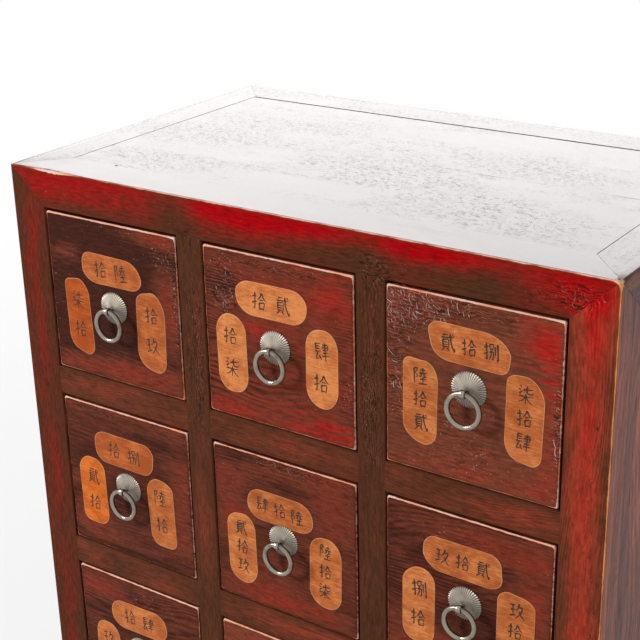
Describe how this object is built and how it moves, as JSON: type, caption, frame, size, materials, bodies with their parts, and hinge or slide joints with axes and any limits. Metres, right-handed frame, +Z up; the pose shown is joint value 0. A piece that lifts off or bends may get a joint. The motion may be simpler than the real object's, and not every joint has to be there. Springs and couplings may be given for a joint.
{
  "type": "apothecary chest",
  "caption": "Red lacquered wooden chest with a grid of equal deep drawers in a mitred frame, each drawer with a scalloped plate and a ring pull.",
  "frame": {"origin": "on the floor, under the middle of the chest's box, ring pulls included", "axes": "+Z up, -Y towards the drawer fronts, +X to the right as seen from the front"},
  "size_m": [0.72, 0.4574, 0.8],
  "materials": {
    "red_lacquer": "worn glossy red lacquer over wood",
    "dark_lacquer": "worn glossy dark brown lacquer over wood",
    "bare_wood": "bare planed wood",
    "white_brass": "tarnished white brass"
  },
  "bodies": {
    "carcass": {"front_left_post": "red_lacquer", "front_right_post": "red_lacquer", "back_left_post": "red_lacquer", "back_right_post": "red_lacquer", "top_front_rail": "dark_lacquer", "top_back_rail": "dark_lacquer", "top_left_rail": "dark_lacquer", "top_right_rail": "dark_lacquer", "bottom_front_rail": "red_lacquer", "bottom_back_rail": "red_lacquer", "bottom_left_rail": "red_lacquer", "bottom_right_rail": "red_lacquer", "mid_rail_1": "red_lacquer", "mid_rail_2": "red_lacquer", "mid_stile_1": "red_lacquer", "mid_stile_2": "red_lacquer", "top_panel_front_board": "dark_lacquer", "top_panel_back_board": "dark_lacquer", "left_side_panel": "dark_lacquer", "right_side_panel": "dark_lacquer", "back_panel": "bare_wood", "shelf_1": "bare_wood", "shelf_2": "bare_wood", "bottom_board": "bare_wood"},
    "drawer_r1c1": {"drawer_r1c1_front": "red_lacquer", "drawer_r1c1_tray": "bare_wood", "drawer_r1c1_plate": "white_brass"},
    "ring_r1c1": {"drawer_r1c1_ring": "white_brass"},
    "drawer_r1c2": {"drawer_r1c2_front": "red_lacquer", "drawer_r1c2_tray": "bare_wood", "drawer_r1c2_plate": "white_brass"},
    "ring_r1c2": {"drawer_r1c2_ring": "white_brass"},
    "drawer_r1c3": {"drawer_r1c3_front": "red_lacquer", "drawer_r1c3_tray": "bare_wood", "drawer_r1c3_plate": "white_brass"},
    "ring_r1c3": {"drawer_r1c3_ring": "white_brass"},
    "drawer_r2c1": {"drawer_r2c1_front": "red_lacquer", "drawer_r2c1_tray": "bare_wood", "drawer_r2c1_plate": "white_brass"},
    "ring_r2c1": {"drawer_r2c1_ring": "white_brass"},
    "drawer_r2c2": {"drawer_r2c2_front": "red_lacquer", "drawer_r2c2_tray": "bare_wood", "drawer_r2c2_plate": "white_brass"},
    "ring_r2c2": {"drawer_r2c2_ring": "white_brass"},
    "drawer_r2c3": {"drawer_r2c3_front": "red_lacquer", "drawer_r2c3_tray": "bare_wood", "drawer_r2c3_plate": "white_brass"},
    "ring_r2c3": {"drawer_r2c3_ring": "white_brass"},
    "drawer_r3c1": {"drawer_r3c1_front": "red_lacquer", "drawer_r3c1_tray": "bare_wood", "drawer_r3c1_plate": "white_brass"},
    "ring_r3c1": {"drawer_r3c1_ring": "white_brass"},
    "drawer_r3c2": {"drawer_r3c2_front": "red_lacquer", "drawer_r3c2_tray": "bare_wood", "drawer_r3c2_plate": "white_brass"},
    "ring_r3c2": {"drawer_r3c2_ring": "white_brass"},
    "drawer_r3c3": {"drawer_r3c3_front": "red_lacquer", "drawer_r3c3_tray": "bare_wood", "drawer_r3c3_plate": "white_brass"},
    "ring_r3c3": {"drawer_r3c3_ring": "white_brass"}
  },
  "joints": [
    {"name": "drawer_r1c1_slide", "type": "slide", "parent": "carcass", "child": "drawer_r1c1", "axis": [0, -1, 0], "range_m": [0, 0.28]},
    {"name": "ring_r1c1_swing", "type": "hinge", "parent": "drawer_r1c1", "child": "ring_r1c1", "pos_m": [-0.2218, -0.22435, 0.6557], "axis": [-1, 0, 0], "range_deg": [-6, 165]},
    {"name": "drawer_r1c2_slide", "type": "slide", "parent": "carcass", "child": "drawer_r1c2", "axis": [0, -1, 0], "range_m": [0, 0.28]},
    {"name": "ring_r1c2_swing", "type": "hinge", "parent": "drawer_r1c2", "child": "ring_r1c2", "pos_m": [-0.0044, -0.22435, 0.6574], "axis": [-1, 0, 0], "range_deg": [-6, 165]},
    {"name": "drawer_r1c3_slide", "type": "slide", "parent": "carcass", "child": "drawer_r1c3", "axis": [0, -1, 0], "range_m": [0, 0.28]},
    {"name": "ring_r1c3_swing", "type": "hinge", "parent": "drawer_r1c3", "child": "ring_r1c3", "pos_m": [0.2172, -0.22435, 0.6653], "axis": [-1, 0, 0], "range_deg": [-6, 165]},
    {"name": "drawer_r2c1_slide", "type": "slide", "parent": "carcass", "child": "drawer_r2c1", "axis": [0, -1, 0], "range_m": [0, 0.28]},
    {"name": "ring_r2c1_swing", "type": "hinge", "parent": "drawer_r2c1", "child": "ring_r2c1", "pos_m": [-0.2223, -0.22435, 0.4329], "axis": [-1, 0, 0], "range_deg": [-6, 165]},
    {"name": "drawer_r2c2_slide", "type": "slide", "parent": "carcass", "child": "drawer_r2c2", "axis": [0, -1, 0], "range_m": [0, 0.28]},
    {"name": "ring_r2c2_swing", "type": "hinge", "parent": "drawer_r2c2", "child": "ring_r2c2", "pos_m": [-0.0025, -0.22435, 0.4335], "axis": [-1, 0, 0], "range_deg": [-6, 165]},
    {"name": "drawer_r2c3_slide", "type": "slide", "parent": "carcass", "child": "drawer_r2c3", "axis": [0, -1, 0], "range_m": [0, 0.28]},
    {"name": "ring_r2c3_swing", "type": "hinge", "parent": "drawer_r2c3", "child": "ring_r2c3", "pos_m": [0.2175, -0.22435, 0.4335], "axis": [-1, 0, 0], "range_deg": [-6, 165]},
    {"name": "drawer_r3c1_slide", "type": "slide", "parent": "carcass", "child": "drawer_r3c1", "axis": [0, -1, 0], "range_m": [0, 0.28]},
    {"name": "ring_r3c1_swing", "type": "hinge", "parent": "drawer_r3c1", "child": "ring_r3c1", "pos_m": [-0.2225, -0.22435, 0.2085], "axis": [-1, 0, 0], "range_deg": [-6, 165]},
    {"name": "drawer_r3c2_slide", "type": "slide", "parent": "carcass", "child": "drawer_r3c2", "axis": [0, -1, 0], "range_m": [0, 0.28]},
    {"name": "ring_r3c2_swing", "type": "hinge", "parent": "drawer_r3c2", "child": "ring_r3c2", "pos_m": [-0.0025, -0.22435, 0.2085], "axis": [-1, 0, 0], "range_deg": [-6, 165]},
    {"name": "drawer_r3c3_slide", "type": "slide", "parent": "carcass", "child": "drawer_r3c3", "axis": [0, -1, 0], "range_m": [0, 0.28]},
    {"name": "ring_r3c3_swing", "type": "hinge", "parent": "drawer_r3c3", "child": "ring_r3c3", "pos_m": [0.2175, -0.22435, 0.2085], "axis": [-1, 0, 0], "range_deg": [-6, 165]}
  ]
}
